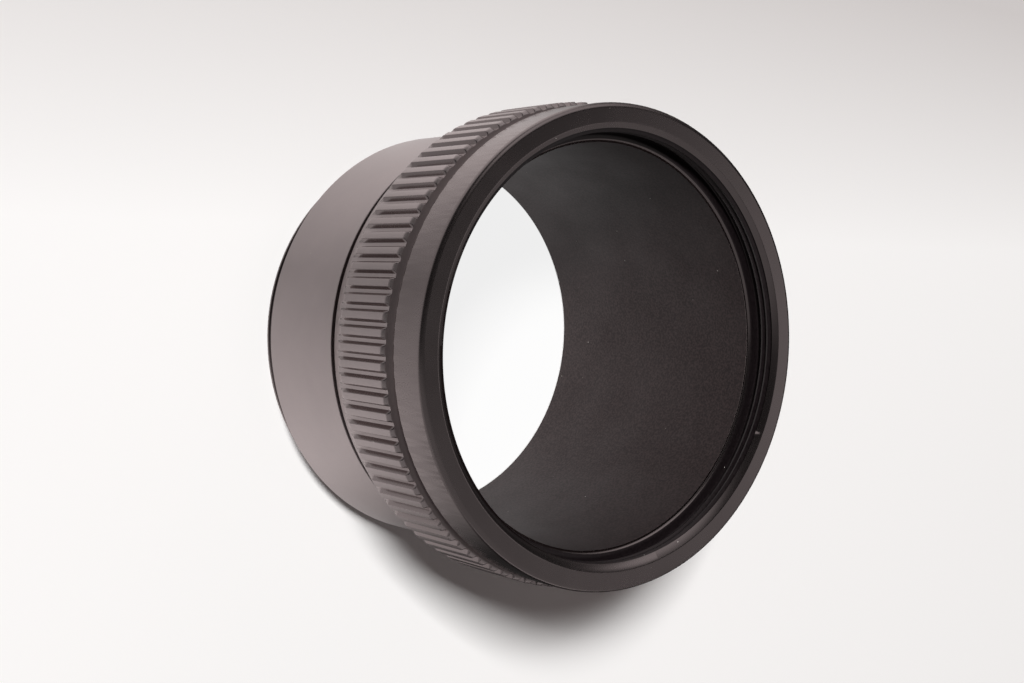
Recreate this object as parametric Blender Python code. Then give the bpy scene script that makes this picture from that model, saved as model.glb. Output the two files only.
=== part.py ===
"""Step-down ring for a camera lens: one piece turned from aluminium bar.

The ring stands on its narrow threaded end. Its axis is +Z and its origin is the middle of
that end. Every radius is stacked up from the bore and every height from the narrow end, so
each step keeps its own size when another one changes. Lengths are in metres.
"""

import math

import bmesh
import bpy
from mathutils import Matrix

# Heights, from the narrow end upwards
SPIGOT_HEIGHT = 0.00355
TUBE_HEIGHT = 0.0125
NECK_HEIGHT = 0.0013
HEEL_HEIGHT = 0.0039
LAND_HEIGHT = 0.0074
GUTTER_HEIGHT = 0.001
BAND_HEIGHT = 0.00455

# Radii, from the bore outwards
BORE_DIAMETER = 0.0405
SPIGOT_WALL = 0.00075
TUBE_STEP = 0.0013
HEEL_STEP = 0.00035
BAND_STEP = 0.00125
LAND_STEP = 0.00045

# The relief groove where the outer thread meets the tube, and the two grooves beside the knurl
SPIGOT_RELIEF_HEIGHT = 0.0009
SPIGOT_RELIEF_DEPTH = 0.00035
NECK_DEPTH = 0.0007
GUTTER_DEPTH = 0.0009

# The knurl: straight slots with sloping sides, cut into the raised land down to the band's level
SLOT_COUNT = 98
SLOT_FLOOR_WIDTH = 0.0003
SLOT_MOUTH_WIDTH = 0.0008
FACETS_PER_SLOT = 1

# The socket of the wide end: lead-in, thread, relief groove and the seat at its bottom
SOCKET_STEP = 0.00085
SOCKET_RELIEF_HEIGHT = 0.00075
SOCKET_RELIEF_DEPTH = 0.00062
SEAT_DEPTH = 0.00275
LEAD_IN_WIDTH = 0.0008
LEAD_IN_HEIGHT = 0.00043

# Both relief grooves are cut a little below the flat beside them, starting this clear of the
# thread's crest, so that what is screwed on beds on the flat and never in the corner
BEDDING_CLEARANCE = 0.0001
RELIEF_UNDERCUT = 0.0001

# Broken edges and rounded corners
SPIGOT_CHAMFER = 0.0003
RELIEF_CHAMFER = 0.0002
TUBE_CHAMFER = 0.00015
BORE_EDGE_CHAMFER = 0.00015
SEAT_EDGE_CHAMFER = 0.0003
RIM_FILLET = 0.0005
BAND_HEEL_FILLET = 0.0004
LAND_CHAMFER = 0.0003
FILLET_STEPS = 3

# Black anodised aluminium
ANODISED_COLOUR = (0.035, 0.033, 0.034, 1.0)
ANODISED_METALLIC = 0.6
ANODISED_ROUGHNESS = 0.42

MERGE_DISTANCE = 0.00001
SHARP_ANGLE = math.radians(25)

# Radii that follow
bore = BORE_DIAMETER / 2
spigot = bore + SPIGOT_WALL
tube = spigot + TUBE_STEP
heel = tube + HEEL_STEP
band = heel + BAND_STEP
land = band + LAND_STEP
socket = bore + SOCKET_STEP
socket_relief = socket + SOCKET_RELIEF_DEPTH
mouth = socket + LEAD_IN_WIDTH

# Heights that follow
tube_bottom = SPIGOT_HEIGHT
tube_top = tube_bottom + TUBE_HEIGHT
heel_bottom = tube_top + NECK_HEIGHT
land_bottom = heel_bottom + HEEL_HEIGHT
land_top = land_bottom + LAND_HEIGHT
band_bottom = land_top + GUTTER_HEIGHT
rim = band_bottom + BAND_HEIGHT
seat = rim - SEAT_DEPTH


def clear_scene():
    for item in list(bpy.data.objects):
        bpy.data.objects.remove(item, do_unlink=True)


def rounded_corner(centre_radius, centre_height, fillet, start, end):
    """Points of a fillet, from the start angle to the end angle (degrees from +X)."""
    points = []
    for step in range(FILLET_STEPS + 1):
        angle = math.radians(start + (end - start) * step / FILLET_STEPS)
        points.append((centre_radius + fillet * math.cos(angle),
                       centre_height + fillet * math.sin(angle)))
    return points


def outer_side():
    """Section of the outside as (radius, height), from the wide rim down to the narrow end."""
    rim_corner = rounded_corner(band - RIM_FILLET, rim - RIM_FILLET, RIM_FILLET, 90, 0)
    band_heel = rounded_corner(band - BAND_HEEL_FILLET, band_bottom + BAND_HEEL_FILLET,
                               BAND_HEEL_FILLET, 0, -90)
    gutter = band - GUTTER_DEPTH
    neck = tube - NECK_DEPTH
    spigot_relief = spigot - SPIGOT_RELIEF_DEPTH
    return rim_corner + band_heel + [
        (gutter, band_bottom),
        (gutter, land_top),
        (land - LAND_CHAMFER, land_top),
        (land, land_top - LAND_CHAMFER),
        (land, land_bottom),
        (heel, heel_bottom),
        (neck, heel_bottom),
        (neck, tube_top),
        (tube, tube_top),
        (tube, tube_bottom + TUBE_CHAMFER),
        (tube - TUBE_CHAMFER, tube_bottom),
        (spigot + BEDDING_CLEARANCE, tube_bottom),
        (spigot_relief, tube_bottom + RELIEF_UNDERCUT),
        (spigot_relief, tube_bottom - SPIGOT_RELIEF_HEIGHT + RELIEF_CHAMFER),
        (spigot, tube_bottom - SPIGOT_RELIEF_HEIGHT),
        (spigot, SPIGOT_CHAMFER),
        (spigot - SPIGOT_CHAMFER, 0.0),
    ]


def inner_side():
    """Section of the inside, from the narrow end up to the wide rim."""
    return [
        (bore + BORE_EDGE_CHAMFER, 0.0),
        (bore, BORE_EDGE_CHAMFER),
        (bore, seat - SEAT_EDGE_CHAMFER),
        (bore + SEAT_EDGE_CHAMFER, seat),
        (socket - BEDDING_CLEARANCE, seat),
        (socket_relief, seat - RELIEF_UNDERCUT),
        (socket_relief, seat + SOCKET_RELIEF_HEIGHT - RELIEF_CHAMFER),
        (socket, seat + SOCKET_RELIEF_HEIGHT),
        (socket, rim - LEAD_IN_HEIGHT),
        (mouth, rim),
    ]


def turned_body():
    """The closed section, carried once round the Z axis."""
    section = outer_side() + inner_side()
    mesh = bpy.data.meshes.new("step_down_ring")
    edges = [(i, (i + 1) % len(section)) for i in range(len(section))]
    mesh.from_pydata([(radius, 0.0, height) for radius, height in section], edges, [])
    body = bpy.data.objects.new("step_down_ring", mesh)
    bpy.context.collection.objects.link(body)
    turn = body.modifiers.new("turned", "SCREW")
    turn.axis = "Z"
    turn.angle = math.tau
    turn.steps = SLOT_COUNT * FACETS_PER_SLOT
    turn.render_steps = turn.steps
    turn.use_merge_vertices = True
    turn.merge_threshold = MERGE_DISTANCE
    return body


def slot_cutters():
    """One wedge for each slot: its narrow side is the slot's floor, and it runs out at both ends."""
    cutter = bmesh.new()
    outside = land + LAND_STEP / 2
    reach = (outside - band) / LAND_STEP
    outside_width = SLOT_FLOOR_WIDTH + (SLOT_MOUTH_WIDTH - SLOT_FLOOR_WIDTH) * reach
    length = land_top + GUTTER_HEIGHT / 2 - heel_bottom
    middle = heel_bottom + length / 2
    for index in range(SLOT_COUNT):
        wedge = bmesh.ops.create_cube(cutter, size=1.0)["verts"]
        for vertex in wedge:
            vertex.co.y *= outside_width if vertex.co.x > 0 else SLOT_FLOOR_WIDTH
        bmesh.ops.scale(cutter, verts=wedge, vec=(outside - band, 1.0, length))
        bmesh.ops.translate(cutter, verts=wedge, vec=((outside + band) / 2, 0.0, middle))
        turn = Matrix.Rotation(math.tau * index / SLOT_COUNT, 3, "Z")
        bmesh.ops.rotate(cutter, verts=wedge, cent=(0, 0, 0), matrix=turn)
    mesh = bpy.data.meshes.new("knurl_cutter")
    cutter.to_mesh(mesh)
    cutter.free()
    guide = bpy.data.objects.new("knurl_cutter", mesh)
    bpy.context.collection.objects.link(guide)
    guide.hide_render = True
    guide.display_type = "WIRE"
    return guide


def cut(body, guide):
    slots = body.modifiers.new("knurl", "BOOLEAN")
    slots.operation = "DIFFERENCE"
    slots.solver = "EXACT"
    slots.object = guide


def finish(body):
    """Keep the cut shape as the ring's own mesh, smooth where it is round."""
    evaluated = body.evaluated_get(bpy.context.evaluated_depsgraph_get())
    mesh = bpy.data.meshes.new_from_object(evaluated)
    body.modifiers.clear()
    body.data = mesh
    mesh.name = body.name
    mesh.shade_smooth()
    mesh.set_sharp_from_angle(angle=SHARP_ANGLE)


def anodised_black():
    material = bpy.data.materials.new("black_anodised_aluminium")
    material.use_nodes = True
    shader = material.node_tree.nodes["Principled BSDF"]
    shader.inputs["Base Color"].default_value = ANODISED_COLOUR
    shader.inputs["Metallic"].default_value = ANODISED_METALLIC
    shader.inputs["Roughness"].default_value = ANODISED_ROUGHNESS
    return material


clear_scene()
ring = turned_body()
cut(ring, slot_cutters())
finish(ring)
ring.data.materials.append(anodised_black())
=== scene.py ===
import math

import bmesh
import bpy
from mathutils import Matrix, Vector


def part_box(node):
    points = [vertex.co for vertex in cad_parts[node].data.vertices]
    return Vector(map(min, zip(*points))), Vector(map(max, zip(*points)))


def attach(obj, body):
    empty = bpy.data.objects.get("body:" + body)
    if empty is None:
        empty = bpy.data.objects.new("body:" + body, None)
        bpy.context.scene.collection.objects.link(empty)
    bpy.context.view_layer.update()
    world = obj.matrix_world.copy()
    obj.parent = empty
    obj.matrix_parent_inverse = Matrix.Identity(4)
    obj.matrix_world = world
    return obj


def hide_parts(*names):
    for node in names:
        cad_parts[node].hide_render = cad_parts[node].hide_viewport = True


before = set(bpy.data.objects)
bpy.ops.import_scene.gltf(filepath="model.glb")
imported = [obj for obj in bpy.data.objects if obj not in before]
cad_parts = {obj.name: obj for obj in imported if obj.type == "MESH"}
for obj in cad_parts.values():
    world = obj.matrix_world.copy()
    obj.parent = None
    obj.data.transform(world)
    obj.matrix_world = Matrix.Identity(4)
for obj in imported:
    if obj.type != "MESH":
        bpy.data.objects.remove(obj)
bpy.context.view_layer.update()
bpy.ops.object.select_all(action="DESELECT")

# The turned blank
# The ring is one piece of aluminium bar, turned outside and bored through in one chucking. Its
# section is drawn at +X, down the outside from the wide rim and back up through the bore.
MM = 0.001
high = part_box("step_down_ring")[1]
LAND_ABOVE_BAND = 0.45
LAND_ABOVE_HEEL = 1.7
LAND_ABOVE_TUBE = 2.05
LAND_ABOVE_SPIGOT = 3.35
LAND_ABOVE_BORE = 4.1
GUTTER_DEPTH = 0.9
NECK_DEPTH = 0.7
SPIGOT_RELIEF_DEPTH = 0.35
SOCKET_STEP = 0.85
SOCKET_RELIEF_DEPTH = 0.62
LEAD_IN_WIDTH = 0.8
LEAD_IN_HEIGHT = 0.43

SPIGOT_HEIGHT = 3.55
SPIGOT_RELIEF_HEIGHT = 0.9
TUBE_HEIGHT = 12.5
NECK_HEIGHT = 1.3
HEEL_HEIGHT = 3.9
LAND_HEIGHT = 7.4
GUTTER_HEIGHT = 1
SEAT_DEPTH = 2.75
SOCKET_RELIEF_HEIGHT = 0.75
BEDDING_CLEARANCE = 0.1
RELIEF_UNDERCUT = 0.1
RELIEF_SLOPE = 0.2
TUBE_CHAMFER = 0.15
SPIGOT_CHAMFER = 0.3
BORE_CHAMFER = 0.15

RIM_FILLET = 0.5
BAND_HEEL_FILLET = 0.4
LAND_CHAMFER = 0.3
SEAT_FILLET = 0.3
CONE_BREAK = 0.12
TOOL_NOSE = 0.1
EDGE_BREAK = 0.05
FINE_BREAK = 0.03
FLAT_HOLD = 0.04
ROUND_STEPS = 5

land = high.y / MM
band = land - LAND_ABOVE_BAND
heel = land - LAND_ABOVE_HEEL
tube = land - LAND_ABOVE_TUBE
spigot = land - LAND_ABOVE_SPIGOT
bore = land - LAND_ABOVE_BORE
gutter = band - GUTTER_DEPTH
neck = tube - NECK_DEPTH
spigot_relief = spigot - SPIGOT_RELIEF_DEPTH
socket = bore + SOCKET_STEP
socket_relief = socket + SOCKET_RELIEF_DEPTH
mouth = socket + LEAD_IN_WIDTH

rim = high.z / MM
tube_bottom = SPIGOT_HEIGHT
tube_top = tube_bottom + TUBE_HEIGHT
heel_bottom = tube_top + NECK_HEIGHT
land_bottom = heel_bottom + HEEL_HEIGHT
land_top = land_bottom + LAND_HEIGHT
band_bottom = land_top + GUTTER_HEIGHT
seat = rim - SEAT_DEPTH
spigot_relief_bottom = tube_bottom - SPIGOT_RELIEF_HEIGHT
socket_relief_top = seat + SOCKET_RELIEF_HEIGHT
slot_end = heel_bottom + HEEL_HEIGHT * (band - heel) / (land - heel)

# Each corner is a radius, a height and how far its edge is broken or rounded. The first and the
# last stand just inside the rim's edges and hold its face flat.
corners = [
    (band - RIM_FILLET - FLAT_HOLD, rim, 0),
    (band, rim, RIM_FILLET),
    (band, band_bottom, BAND_HEEL_FILLET),
    (gutter, band_bottom, TOOL_NOSE),
    (gutter, land_top, TOOL_NOSE),
    (band, land_top, 0),
    (land - LAND_CHAMFER, land_top, EDGE_BREAK),
    (land, land_top - LAND_CHAMFER, EDGE_BREAK),
    (land, land_bottom, CONE_BREAK),
    (band, slot_end, 0),
    (heel, heel_bottom, EDGE_BREAK),
    (neck, heel_bottom, TOOL_NOSE),
    (neck, tube_top, TOOL_NOSE),
    (tube, tube_top, EDGE_BREAK),
    (tube, tube_bottom + TUBE_CHAMFER, FINE_BREAK),
    (tube - TUBE_CHAMFER, tube_bottom, FINE_BREAK),
    (spigot + BEDDING_CLEARANCE, tube_bottom, 0),
    (spigot_relief, tube_bottom + RELIEF_UNDERCUT, TOOL_NOSE),
    (spigot_relief, spigot_relief_bottom + RELIEF_SLOPE, FINE_BREAK),
    (spigot, spigot_relief_bottom, FINE_BREAK),
    (spigot, SPIGOT_CHAMFER, FINE_BREAK),
    (spigot - SPIGOT_CHAMFER, 0, FINE_BREAK),
    (bore + BORE_CHAMFER, 0, FINE_BREAK),
    (bore, BORE_CHAMFER, FINE_BREAK),
    (bore, seat, SEAT_FILLET),
    (socket - BEDDING_CLEARANCE, seat, 0),
    (socket_relief, seat - RELIEF_UNDERCUT, TOOL_NOSE),
    (socket_relief, socket_relief_top - RELIEF_SLOPE, FINE_BREAK),
    (socket, socket_relief_top, FINE_BREAK),
    (socket, rim - LEAD_IN_HEIGHT, FINE_BREAK),
    (mouth, rim, EDGE_BREAK),
    (mouth + EDGE_BREAK + FLAT_HOLD, rim, 0),
]


def choose(piece, test):
    """In edit mode, select the vertices whose place passes the test, and nothing else."""
    bpy.ops.mesh.select_all(action="DESELECT")
    mesh = bmesh.from_edit_mesh(piece.data)
    for vertex in mesh.verts:
        vertex.select = test(vertex.co)
    mesh.select_flush_mode()
    bmesh.update_edit_mesh(piece.data)


def draw_section(piece, points):
    """Extrude one vertex from corner to corner, (radius, height) in mm, and close the outline."""
    bpy.ops.mesh.merge(type="CENTER")
    bpy.ops.transform.translate(value=(points[0][0] * MM, 0, points[0][1] * MM))
    for here, there in zip(points, points[1:]):
        step = ((there[0] - here[0]) * MM, 0, (there[1] - here[1]) * MM)
        bpy.ops.mesh.extrude_region_move(TRANSFORM_OT_translate={"value": step})
    bpy.ops.mesh.select_all(action="SELECT")
    bpy.ops.mesh.edge_face_add()


bpy.ops.mesh.primitive_plane_add(size=MM, location=(0, 0, 0))
ring = bpy.context.object
ring.name = ring.data.name = "turned_ring"
bpy.ops.object.mode_set(mode="EDIT")
bpy.context.tool_settings.mesh_select_mode = (True, False, False)
draw_section(ring, corners)
for radius, height, width in corners:
    if width:
        corner = Vector((radius * MM, 0, height * MM))
        choose(ring, lambda place: (place - corner).length < FINE_BREAK * MM / 10)
        steps = ROUND_STEPS if width >= BAND_HEEL_FILLET else 1
        bpy.ops.mesh.bevel(offset=width * MM, segments=steps, affect="VERTICES")
bpy.ops.mesh.select_all(action="SELECT")
bpy.ops.mesh.delete(type="ONLY_FACE")

# The knurl
# Straight slots with sloping sides milled into the raised land, all round, down to the band's
# level. Half a pitch is carried round from a land's middle to a slot's, mirrored and copied.
SLOT_COUNT = 98
SLOT_HALF_MOUTH = 0.4
SLOT_HALF_FLOOR = 0.16
SLOT_EDGE_WIDTH = 0.06
SLOT_EDGE_LEFT = 0.9
SLOT_CORNER_WIDTH = 0.05
SLOT_CORNER_LEFT = 0.08
half_pitch = math.pi / SLOT_COUNT
floor_turn = half_pitch - SLOT_HALF_FLOOR / band
corner_turn = floor_turn - SLOT_CORNER_WIDTH / band
wall_turn = half_pitch - SLOT_HALF_MOUTH / land
edge_turn = wall_turn - SLOT_EDGE_WIDTH / land
NEAR = 0.001 * MM


def carry_on(piece, start, end, land_left):
    """Spin the column of points at the start angle to the end angle, and leave this share of
    the land's height over the slot's floor there."""
    bpy.ops.mesh.spin(angle=end - start, steps=1, center=(0, 0, 0), axis=(0, 0, -1))
    mesh = bmesh.from_edit_mesh(piece.data)
    column = {vertex.index for vertex in mesh.verts if vertex.select}
    for vertex in mesh.verts:
        in_height = slot_end * MM - NEAR < vertex.co.z < land_top * MM + NEAR
        outside = math.hypot(vertex.co.x, vertex.co.y) > band * MM - NEAR
        vertex.select = vertex.index in column and in_height and outside
    mesh.select_flush_mode()
    bmesh.update_edit_mesh(piece.data)
    turn = Matrix.Rotation(end, 3, "Z")
    pivot = turn @ Vector((band * MM, 0, 0))
    bpy.ops.transform.resize(value=(land_left, land_left, 1), center_override=pivot)
    mesh = bmesh.from_edit_mesh(piece.data)
    mesh.verts.ensure_lookup_table()
    for vertex in mesh.verts:
        vertex.select = vertex.index in column
    mesh.select_flush_mode()
    bmesh.update_edit_mesh(piece.data)


bpy.ops.mesh.select_all(action="SELECT")
carry_on(ring, 0, edge_turn, 1)
carry_on(ring, edge_turn, wall_turn, SLOT_EDGE_LEFT)
carry_on(ring, wall_turn, corner_turn, SLOT_CORNER_LEFT)
carry_on(ring, corner_turn, floor_turn, 0)
carry_on(ring, floor_turn, half_pitch, 0)
bpy.ops.object.mode_set(mode="OBJECT")
mirror = ring.modifiers.new("other half", "MIRROR")
mirror.use_axis = (False, True, False)
mirror.merge_threshold = NEAR
bpy.ops.object.modifier_apply(modifier=mirror.name)
bpy.ops.object.mode_set(mode="EDIT")
bpy.ops.mesh.select_all(action="SELECT")
copies = SLOT_COUNT - 1
bpy.ops.mesh.spin(dupli=True, steps=copies, angle=2 * half_pitch * copies,
                  center=(0, 0, 0), axis=(0, 0, 1))
bpy.ops.mesh.select_all(action="SELECT")
bpy.ops.mesh.remove_doubles(threshold=NEAR)
bpy.ops.transform.rotate(value=half_pitch, orient_axis="Z", center_override=(0, 0, 0))
bpy.ops.mesh.normals_make_consistent(inside=False)
bpy.ops.object.mode_set(mode="OBJECT")

# The two threads
# Both ends have fine right-handed filter threads of 0.75 mm pitch, cut with a pointed tool that
# runs out into the relief grooves. Each groove is a wound vee that is cut from the blank.
THREAD_PITCH = 0.75
THREAD_DEPTH_SOCKET = 0.406
THREAD_DEPTH_SPIGOT = 0.34
ROOT_FLAT = THREAD_PITCH / 8
FLANK_SLOPE = math.tan(math.radians(30))
OVERCUT = 0.08
THREAD_STEPS = 196
SOCKET_START = 31.99
SOCKET_TURNS = 4
SPIGOT_START = -0.411
SPIGOT_TURNS = 4


def wound_vee(name, root, crest, start, turns):
    """A vee, wound round Z, whose flat point is at the root radius. It widens past the crest."""
    past = crest + (OVERCUT if crest > root else -OVERCUT)
    half_root = ROOT_FLAT / 2
    half_open = half_root + abs(past - root) * FLANK_SLOPE
    points = [(root, start - half_root), (root, start + half_root),
              (past, start + half_open), (past, start - half_open)]
    bpy.ops.mesh.primitive_plane_add(size=MM, location=(0, 0, 0))
    vee = bpy.context.object
    vee.name = name
    bpy.ops.object.mode_set(mode="EDIT")
    draw_section(vee, points)
    bpy.ops.object.mode_set(mode="OBJECT")
    winding = vee.modifiers.new("winding", "SCREW")
    winding.screw_offset = THREAD_PITCH * MM
    winding.iterations = turns
    winding.steps = winding.render_steps = THREAD_STEPS
    winding.use_merge_vertices = True
    winding.merge_threshold = NEAR
    bpy.ops.object.modifier_apply(modifier=winding.name)
    bpy.ops.object.mode_set(mode="EDIT")
    bpy.ops.mesh.select_all(action="SELECT")
    bpy.ops.mesh.fill_holes(sides=0)
    bpy.ops.mesh.select_all(action="SELECT")
    bpy.ops.mesh.normals_make_consistent(inside=False)
    bpy.ops.object.mode_set(mode="OBJECT")
    return vee


def cut_thread(piece, vee):
    groove = piece.modifiers.new(vee.name, "BOOLEAN")
    groove.operation = "DIFFERENCE"
    groove.solver = "EXACT"
    groove.object = vee
    bpy.context.view_layer.objects.active = piece
    bpy.ops.object.modifier_apply(modifier=groove.name)
    bpy.data.objects.remove(vee)


cut_thread(ring, wound_vee("socket_thread", socket + THREAD_DEPTH_SOCKET, socket,
                           SOCKET_START, SOCKET_TURNS))
cut_thread(ring, wound_vee("spigot_thread", spigot - THREAD_DEPTH_SPIGOT, spigot,
                           SPIGOT_START, SPIGOT_TURNS))

# The satin anodising of the tube and the knurl
# Black anodising on a lightly blasted surface, a hard dull skin with a soft sheen. The tool's
# faint rings show through it, and a few specks of dust lie on it.
SATIN_BLACK = (0.345, 0.290, 0.289, 1)
SATIN_WORN = (0.400, 0.336, 0.334, 1)
SATIN_METALLIC = 0.9
EDGE_SHEEN = (1.0, 0.95, 0.94, 1)
SATIN_ROUGHNESS = (0.36, 0.42)
DUST_COLOUR = (0.62, 0.58, 0.54, 1)
TOOL_RING_SPACING = 0.09
TOOL_RING_HEIGHT = 0.0009
GRAIN_SIZE = 0.11
GRAIN_HEIGHT = 0.0012
GRAIN_DULLNESS = 0.03
PATCH_SIZE = 9
NOISE_LOW = 0.3
NOISE_HIGH = 0.7
DUST_SPACING = 1.1
DUST_RADIUS = 0.06
DUST_CORE = 0.6
DUST_SHARE = 0.94


def new_finish(name):
    """A material with its shader, its node tree and the place on the piece as Object coordinates."""
    finish = bpy.data.materials.new(name)
    finish.use_nodes = True
    tree = finish.node_tree
    shader = tree.nodes["Principled BSDF"]
    place = tree.nodes.new("ShaderNodeTexCoord").outputs["Object"]
    return finish, tree, shader, place


def combined(tree, operation, first, second, clamp=False):
    """One sum, product or comparison of two values, each a number or another node's output."""
    node = tree.nodes.new("ShaderNodeMath")
    node.operation = operation
    node.use_clamp = clamp
    for entry, value in zip(node.inputs, (first, second)):
        if isinstance(value, (int, float)):
            entry.default_value = value
        else:
            tree.links.new(value, entry)
    return node.outputs[0]


def noise(tree, place, size, detail=3, roughness=0.55):
    """Noise whose features are about this many mm across."""
    node = tree.nodes.new("ShaderNodeTexNoise")
    node.inputs["Scale"].default_value = 1 / (size * MM)
    node.inputs["Detail"].default_value = detail
    node.inputs["Roughness"].default_value = roughness
    tree.links.new(place, node.inputs["Vector"])
    return node.outputs["Fac"]


def spread(tree, value, low_in, high_in, low_out, high_out):
    """Carry a value from one range over to another, and hold it at the ends."""
    node = tree.nodes.new("ShaderNodeMapRange")
    tree.links.new(value, node.inputs["Value"])
    node.inputs["From Min"].default_value = low_in
    node.inputs["From Max"].default_value = high_in
    node.inputs["To Min"].default_value = low_out
    node.inputs["To Max"].default_value = high_out
    return node.outputs["Result"]


def blend_colours(tree, share, first, second):
    """The first colour, with this share of the second."""
    node = tree.nodes.new("ShaderNodeMix")
    node.data_type = "RGBA"
    tree.links.new(share, node.inputs["Factor"])
    for entry, colour in ((node.inputs["A"], first), (node.inputs["B"], second)):
        if isinstance(colour, tuple):
            entry.default_value = colour
        else:
            tree.links.new(colour, entry)
    return node.outputs["Result"]


def rings_about_axis(tree, place):
    """The place as its distance from the axis and its height, so that a noise turns with the lathe."""
    parts = tree.nodes.new("ShaderNodeSeparateXYZ")
    tree.links.new(place, parts.inputs[0])
    across = combined(tree, "MULTIPLY", parts.outputs["X"], parts.outputs["X"])
    along = combined(tree, "MULTIPLY", parts.outputs["Y"], parts.outputs["Y"])
    radius = combined(tree, "SQRT", combined(tree, "ADD", across, along), 0)
    turned = tree.nodes.new("ShaderNodeCombineXYZ")
    tree.links.new(radius, turned.inputs["X"])
    tree.links.new(parts.outputs["Z"], turned.inputs["Z"])
    return turned.outputs[0]


def dust(tree, place, spacing, radius, share):
    """1 on a few small round specks, 0 elsewhere."""
    cells = tree.nodes.new("ShaderNodeTexVoronoi")
    cells.inputs["Scale"].default_value = 1 / (spacing * MM)
    tree.links.new(place, cells.inputs["Vector"])
    reach = radius / spacing
    near = spread(tree, cells.outputs["Distance"], reach * DUST_CORE, reach, 1, 0)
    pick = tree.nodes.new("ShaderNodeSeparateColor")
    tree.links.new(cells.outputs["Color"], pick.inputs[0])
    few = combined(tree, "GREATER_THAN", pick.outputs["Red"], share)
    return combined(tree, "MULTIPLY", near, few)


def bump(tree, shader, heights):
    """Chain one bump for each (height, mm) into the shader's normal."""
    normal = None
    for height, tall in heights:
        node = tree.nodes.new("ShaderNodeBump")
        node.inputs["Strength"].default_value = 1
        node.inputs["Distance"].default_value = tall * MM
        tree.links.new(height, node.inputs["Height"])
        if normal is not None:
            tree.links.new(normal, node.inputs["Normal"])
        normal = node.outputs["Normal"]
    tree.links.new(normal, shader.inputs["Normal"])


def anodised(name, black, worn, metallic, dull, ring_height, grain_height):
    """Anodised skin between two colours and two roughnesses, over the rings of the tool."""
    finish, tree, shader, place = new_finish(name)
    patches = noise(tree, place, PATCH_SIZE)
    grain = noise(tree, place, GRAIN_SIZE, detail=2)
    tool_rings = noise(tree, rings_about_axis(tree, place), TOOL_RING_SPACING, detail=2)
    specks = dust(tree, place, DUST_SPACING, DUST_RADIUS, DUST_SHARE)
    worn_share = spread(tree, patches, NOISE_LOW, NOISE_HIGH, 0, 1)
    skin = blend_colours(tree, worn_share, black, worn)
    tree.links.new(blend_colours(tree, specks, skin, DUST_COLOUR), shader.inputs["Base Color"])
    rough = spread(tree, patches, NOISE_LOW, NOISE_HIGH, *dull)
    unevenness = spread(tree, grain, NOISE_LOW, NOISE_HIGH, -GRAIN_DULLNESS, GRAIN_DULLNESS)
    rough = combined(tree, "ADD", rough, unevenness)
    tree.links.new(combined(tree, "ADD", rough, specks, clamp=True), shader.inputs["Roughness"])
    tree.links.new(spread(tree, specks, 0, 1, metallic, 0), shader.inputs["Metallic"])
    shader.inputs["Specular Tint"].default_value = EDGE_SHEEN
    bump(tree, shader, [(tool_rings, ring_height), (grain, grain_height)])
    return finish


satin = anodised("satin_black_anodised", SATIN_BLACK, SATIN_WORN, SATIN_METALLIC,
                 SATIN_ROUGHNESS, TOOL_RING_HEIGHT, GRAIN_HEIGHT)

# The finer anodising of the band, the rim and the narrow end
# These faces are turned with a finer feed and are left unblasted. They come out of the same bath
# smoother. Their base colour is set darker than the satin's, painted shade on the same black dye.
# The fine colours are darker than the satin's as painted shade on the same dye.
FINE_BLACK = (0.219, 0.180, 0.179, 1)
FINE_WORN = (0.250, 0.206, 0.205, 1)
FINE_METALLIC = 1
FINE_ROUGHNESS = (0.22, 0.28)
FINE_RING_HEIGHT = 0.0004
FINE_GRAIN_HEIGHT = 0.0004

fine = anodised("fine_black_anodised", FINE_BLACK, FINE_WORN, FINE_METALLIC,
                FINE_ROUGHNESS, FINE_RING_HEIGHT, FINE_GRAIN_HEIGHT)

# The matt finish of the bore
# The bore is blasted before it is anodised, so that it doesn't shine into the lens. It is as
# dark as the outside and has a fine even grain instead of a sheen.
BORE_BLACK = (0.012, 0.0080, 0.0082, 1)
BORE_GREY = (0.034, 0.0232, 0.0232, 1)
BORE_SHEEN = (1.0, 0.86, 0.86, 1)
BORE_IOR = 1.5
BORE_DULL = (0.58, 0.66)
BLAST_SIZE = 0.24
BLAST_HEIGHT = 0.012
BLAST_CRISPNESS = 0.6
BLAST_LOW = 0.4
BLAST_HIGH = 0.62
BORE_PATCH_SIZE = 6
BORE_DUST_SHARE = 0.85


def grained_black(name, black, grey, dull, height):
    """Black skin with a grey grain and no metal in its sheen, for the blasted bore and for painted
    shade.
    """
    finish, tree, shader, place = new_finish(name)
    patches = noise(tree, place, BORE_PATCH_SIZE)
    blast = noise(tree, place, BLAST_SIZE, roughness=BLAST_CRISPNESS)
    specks = dust(tree, place, DUST_SPACING, DUST_RADIUS, BORE_DUST_SHARE)
    grey_share = spread(tree, blast, BLAST_LOW, BLAST_HIGH, 0, 1)
    skin = blend_colours(tree, grey_share, black, grey)
    tree.links.new(blend_colours(tree, specks, skin, DUST_COLOUR), shader.inputs["Base Color"])
    rough = spread(tree, patches, NOISE_LOW, NOISE_HIGH, *dull)
    tree.links.new(rough, shader.inputs["Roughness"])
    shader.inputs["Metallic"].default_value = 0
    shader.inputs["IOR"].default_value = BORE_IOR
    shader.inputs["Specular Tint"].default_value = BORE_SHEEN
    bump(tree, shader, [(blast, height)])
    return finish


matt = grained_black("matt_black_blasted_and_painted_shade", BORE_BLACK, BORE_GREY, BORE_DULL, BLAST_HEIGHT)

# Painted shade in the socket
# The inside thread, the groove below it and the seat get a near-black skin, painted shade for
# the shadow in this recess, smooth enough for a thin line of light on each turn.
# Near-black colours, painted as shade in the socket's recess.
SOCKET_BLACK = (0.005, 0.0036, 0.0040, 1)
SOCKET_GREY = (0.010, 0.0073, 0.0080, 1)
SOCKET_DULL = (0.30, 0.38)
SOCKET_GRAIN_HEIGHT = 0.002

socket_painted_shade = grained_black("socket_painted_shade_black", SOCKET_BLACK, SOCKET_GREY, SOCKET_DULL,
                     SOCKET_GRAIN_HEIGHT)
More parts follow.
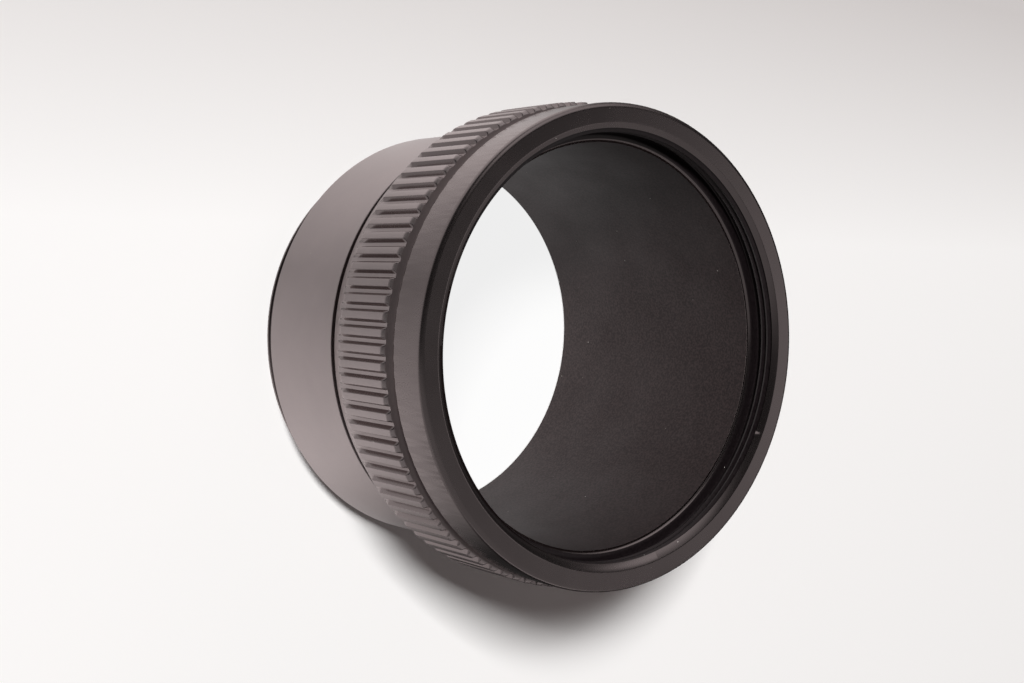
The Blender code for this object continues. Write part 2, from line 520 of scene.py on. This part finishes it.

# The finished ring
# The bore is matt up to the seat's edge, and the neck groove gets the same matt black as painted
# shade in the groove. The tube, the cone, the knurl but for its slots' sides, and its gutter are
# satin, the socket has its near-black painted shade, and everything else has the finer finish.
SMOOTH_ANGLE = math.radians(50)
WIDE_FACE_WEIGHT = 100
SLOT_SIDE_FACING = 0.3
SEAT_EDGE_MATT = 0.1


def give_finish(piece, finish, test):
    """Give the finish to the faces that pass the test on the radius and height of their middle
    in mm and on how far they face along the ring's turn."""
    piece.data.materials.append(finish)
    bpy.ops.mesh.select_all(action="DESELECT")
    mesh = bmesh.from_edit_mesh(piece.data)
    for face in mesh.faces:
        middle = face.calc_center_median() / MM
        turnward = Vector((-middle.y, middle.x, 0)).normalized()
        face.select = test(math.hypot(middle.x, middle.y), middle.z, abs(face.normal.dot(turnward)))
    bmesh.update_edit_mesh(piece.data)
    piece.active_material_index = len(piece.data.materials) - 1
    bpy.ops.object.material_slot_assign()


bpy.context.view_layer.objects.active = ring
ring.select_set(True)
bpy.ops.object.mode_set(mode="EDIT")
bpy.context.tool_settings.mesh_select_mode = (False, False, True)
give_finish(ring, fine, lambda radius, height, turnward: True)
# Matt for the bore, and for the neck groove as painted shade in the groove.
give_finish(ring, matt, lambda radius, height, turnward: (
    radius < bore + SEAT_EDGE_MATT and height < seat or tube_top < height < heel_bottom))
give_finish(ring, socket_painted_shade, lambda radius, height, turnward: (
    bore + SEAT_FILLET < radius < mouth
    and seat - SEAT_FILLET / 2 < height < rim - LEAD_IN_HEIGHT))
give_finish(ring, satin, lambda radius, height, turnward: (
    tube_bottom < height < tube_top and radius > tube - TUBE_CHAMFER
    or heel_bottom < height < band_bottom - NEAR / MM and radius > mouth + EDGE_BREAK
    and turnward < SLOT_SIDE_FACING))
bpy.ops.object.mode_set(mode="OBJECT")
bpy.ops.object.shade_smooth_by_angle(angle=SMOOTH_ANGLE)
weighted = ring.modifiers.new("even shading", "WEIGHTED_NORMAL")
weighted.keep_sharp = True
weighted.weight = WIDE_FACE_WEIGHT
bpy.ops.object.modifier_apply(modifier=weighted.name)
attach(ring, "root")
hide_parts("step_down_ring")

# The floor
# A plain pale table that the ring stands on, its colour painted greyer away from the light as
# painted shade. It keeps the ring's soft shadow. Through the bore it glows white, painted light
# over the ring's shadow there. Glossy rays see it as a glowing painted reflection, with painted
# shade in front of the ring, towards its far ends, behind the ring and at its far corner.
FLOOR_SIZE = 3
FLOOR_NEAR = (0.96, 0.95, 0.94, 1)
# The far colour is painted shade, greyer away from the light.
FLOOR_PAINTED_SHADE = (0.64, 0.61, 0.60, 1)
FLOOR_FADE_START = -12
FLOOR_FADE_END = -50
PAPER_ROUGHNESS = 0.9
PAPER_SHEEN = 0.1
GLOW_OUTSIDE = 0.02
# Painted light: the floor glows inside the bore, over the ring's shadow there.
GLOW_IN_BORE = 0.85
# Levels of the painted reflection that glossy rays see on the floor, and of its painted shade.
REFLECTION_FRONT = Vector((-0.36, -0.933, 0))
REFLECTION_FRONT_LEVEL = 0.5
REFLECTION_FRONT_RISE = 0.78
REFLECTION_END_START = -24
REFLECTION_END_STOP = -38
REFLECTION_END_LEFT = 0.8
REFLECTION_BEHIND = Vector((0.35, 0.94, 0))
REFLECTION_FADE_START = -12
REFLECTION_FADE_STOP = 14
REFLECTION_FADE_LEFT = 0.16
REFLECTION_EDGE_START = 20
REFLECTION_EDGE_STOP = 38
REFLECTION_EDGE_LEFT = 0.5
REFLECTION_CORNER = Vector((0.6, 0.8, 0))
REFLECTION_CORNER_START = 8
REFLECTION_CORNER_STOP = 22
REFLECTION_CORNER_LEFT = 0.4


def reach_towards(tree, place, direction):
    """How far the place lies towards the direction."""
    node = tree.nodes.new("ShaderNodeVectorMath")
    node.operation = "DOT_PRODUCT"
    node.inputs[1].default_value = direction
    tree.links.new(place, node.inputs[0])
    return node.outputs["Value"]


bpy.ops.mesh.primitive_plane_add(size=FLOOR_SIZE, location=(0, 0, 0))
floor = bpy.context.object
floor.name = "floor"
paper_and_painted_glow, tree, shader, place = new_finish("pale_paper_and_painted_glow")
parts = tree.nodes.new("ShaderNodeSeparateXYZ")
tree.links.new(place, parts.inputs[0])
# Painted shade in the floor's colour, greyer towards -X.
painted_shade_share = spread(tree, parts.outputs["X"], FLOOR_FADE_START * MM, FLOOR_FADE_END * MM, 0, 1)
tree.links.new(blend_colours(tree, painted_shade_share, FLOOR_NEAR, FLOOR_PAINTED_SHADE), shader.inputs["Base Color"])
shader.inputs["Roughness"].default_value = PAPER_ROUGHNESS
shader.inputs["Specular IOR Level"].default_value = PAPER_SHEEN

from_axis = tree.nodes.new("ShaderNodeVectorMath")
from_axis.operation = "LENGTH"
tree.links.new(place, from_axis.inputs[0])
in_bore = combined(tree, "LESS_THAN", from_axis.outputs["Value"], bore * MM)
way_round = tree.nodes.new("ShaderNodeVectorMath")
way_round.operation = "NORMALIZE"
tree.links.new(place, way_round.inputs[0])
aside = reach_towards(tree, way_round.outputs["Vector"], REFLECTION_FRONT)
aside = combined(tree, "SQRT", combined(tree, "SUBTRACT", 1, aside), 0)
aside = combined(tree, "MULTIPLY", aside, REFLECTION_FRONT_RISE)
front = combined(tree, "ADD", aside, REFLECTION_FRONT_LEVEL, clamp=True)
end = spread(tree, parts.outputs["Y"], REFLECTION_END_START * MM, REFLECTION_END_STOP * MM,
             1, REFLECTION_END_LEFT)
behind = spread(tree, reach_towards(tree, place, REFLECTION_BEHIND),
                REFLECTION_FADE_START * MM, REFLECTION_FADE_STOP * MM, 1, REFLECTION_FADE_LEFT)
edge = spread(tree, parts.outputs["X"], REFLECTION_EDGE_START * MM, REFLECTION_EDGE_STOP * MM,
              1, REFLECTION_EDGE_LEFT)
corner_level = spread(tree, reach_towards(tree, place, REFLECTION_CORNER),
                      REFLECTION_CORNER_START * MM, REFLECTION_CORNER_STOP * MM, 1, REFLECTION_CORNER_LEFT)
# Painted reflection: the floor's glow for glossy rays, with painted shade in front, towards the far
# ends, behind the ring and at its far corner.
painted_reflection = combined(tree, "MINIMUM", combined(tree, "MULTIPLY", front, end), behind)
painted_reflection = combined(tree, "MULTIPLY", painted_reflection, edge)
painted_reflection = combined(tree, "MULTIPLY", painted_reflection, corner_level)

rays = tree.nodes.new("ShaderNodeLightPath")
white = combined(tree, "MAXIMUM", in_bore, rays.outputs["Is Camera Ray"])
glow = tree.nodes.new("ShaderNodeEmission")
tree.links.new(combined(tree, "MAXIMUM", painted_reflection, white), glow.inputs["Strength"])
# Camera rays see the glow inside the bore as painted light.
seen = spread(tree, in_bore, 0, 1, GLOW_OUTSIDE, GLOW_IN_BORE)
seen = combined(tree, "MULTIPLY", seen, rays.outputs["Is Camera Ray"])
mirrored = combined(tree, "MAXIMUM", rays.outputs["Is Glossy Ray"],
                    rays.outputs["Is Transmission Ray"])
glow_share = tree.nodes.new("ShaderNodeMixShader")
tree.links.new(combined(tree, "MAXIMUM", seen, mirrored), glow_share.inputs["Fac"])
tree.links.new(shader.outputs[0], glow_share.inputs[1])
tree.links.new(glow.outputs[0], glow_share.inputs[2])
tree.links.new(glow_share.outputs[0], tree.nodes["Material Output"].inputs["Surface"])
floor.data.materials.append(paper_and_painted_glow)

# The studio
# A dark room with light along its horizon, a pale table on one side, a soft window and a bright
# backdrop, as the ring mirrors them. One large soft lamp gives the light and the shadow.
HORIZON_TOP = 0.35
CEILING_LEVEL = 0.03
CAMERA_SIDE_START = -0.6
CAMERA_SIDE_STOP = 0.3
CAMERA_SIDE_LEVEL = 0.4
BACK_SIDE_START = 0.4
BACK_SIDE_STOP = 0.85
BACK_SIDE_LEVEL = 0.1
WINDOW_TOWARDS = Vector((-0.734, 0.342, 0.587))
WINDOW_START = 0.87
WINDOW_STOP = 0.96
WINDOW_LEVEL = 0.7
BACKDROP_TOWARDS = Vector((0.05, 0.78, 0.62))
BACKDROP_START = 0.965
BACKDROP_STOP = 0.997
BACKDROP_LEVEL = 0.56
TABLE_START = -0.02
TABLE_STOP = 0.2
TABLE_LEVEL = 0.25
WHITE = (1, 1, 1, 1)
FILL_SHARE = 0.34
FILL_COLOUR = (1, 0.8, 0.78, 1)
LAMP_TOWARDS = Vector((-0.3443, -0.5104, 0.788))
LAMP_DISTANCE = 2.5
LAMP_SIZE = 0.4
LAMP_WATTS = 72

world = bpy.data.worlds.new("studio")
bpy.context.scene.world = world
world.use_nodes = True
tree = world.node_tree
towards = tree.nodes.new("ShaderNodeTexCoord").outputs["Generated"]
upward = reach_towards(tree, towards, (0, 0, 1))
backward = reach_towards(tree, towards, (0, 1, 0))
tableward = reach_towards(tree, towards, (1, 0, 0))
windowward = reach_towards(tree, towards, WINDOW_TOWARDS)
dropward = reach_towards(tree, towards, BACKDROP_TOWARDS)

horizon = spread(tree, upward, 0, HORIZON_TOP, 1, CEILING_LEVEL)
camera_side = spread(tree, backward, CAMERA_SIDE_START, CAMERA_SIDE_STOP, CAMERA_SIDE_LEVEL, 1)
back_side = spread(tree, backward, BACK_SIDE_START, BACK_SIDE_STOP, 1, BACK_SIDE_LEVEL)
horizon = combined(tree, "MULTIPLY", horizon, combined(tree, "MULTIPLY", camera_side, back_side))
room = combined(tree, "MAXIMUM", horizon, CEILING_LEVEL)
table = spread(tree, tableward, TABLE_START, TABLE_STOP, 0, TABLE_LEVEL)
window = spread(tree, windowward, WINDOW_START, WINDOW_STOP, 0, WINDOW_LEVEL)
backdrop = spread(tree, dropward, BACKDROP_START, BACKDROP_STOP, 0, BACKDROP_LEVEL)
level = combined(tree, "MAXIMUM", room, table)
level = combined(tree, "MAXIMUM", level, combined(tree, "MAXIMUM", window, backdrop))

rays = tree.nodes.new("ShaderNodeLightPath")
fill = rays.outputs["Is Diffuse Ray"]
level = combined(tree, "MULTIPLY", level, spread(tree, fill, 0, 1, 1, FILL_SHARE))
level = combined(tree, "MAXIMUM", level, rays.outputs["Is Camera Ray"])
background = tree.nodes["Background"]
tree.links.new(blend_colours(tree, fill, WHITE, FILL_COLOUR), background.inputs["Color"])
tree.links.new(level, background.inputs["Strength"])

lamp_data = bpy.data.lights.new("soft_lamp", "AREA")
lamp_data.energy = LAMP_WATTS
lamp_data.size = LAMP_SIZE
lamp = bpy.data.objects.new("soft_lamp", lamp_data)
bpy.context.scene.collection.objects.link(lamp)
lamp.location = LAMP_TOWARDS * LAMP_DISTANCE
lamp.rotation_euler = (-LAMP_TOWARDS).to_track_quat("-Z", "Y").to_euler()
lamp.visible_glossy = False

# The camera
# It looks at the ring as the photograph does: from 56 degrees above the bench on the -Y side,
# turned on its side, so that the ring's axis points to the right of the picture.
CAMERA_PLACE = Vector((-7.457, -95.661, 142.021)) * MM
CAMERA_AIM = Vector((0.094, -0.738, 17.1)) * MM
PICTURE_TOP = Vector((-0.9987, 0.0149, -0.0490))
CAMERA_LENS = 51.87
SENSOR_WIDTH = 36
CAMERA_NEAREST = 10

camera_data = bpy.data.cameras.new("camera")
camera_data.lens = CAMERA_LENS
camera_data.sensor_width = SENSOR_WIDTH
camera_data.clip_start = CAMERA_NEAREST * MM
camera = bpy.data.objects.new("camera", camera_data)
bpy.context.scene.collection.objects.link(camera)
away = (CAMERA_PLACE - CAMERA_AIM).normalized()
picture_right = PICTURE_TOP.cross(away).normalized()
picture_up = away.cross(picture_right)
camera.rotation_euler = Matrix((picture_right, picture_up, away)).transposed().to_euler()
camera.location = CAMERA_PLACE
bpy.context.scene.camera = camera
bpy.context.scene.view_settings.view_transform = "Standard"
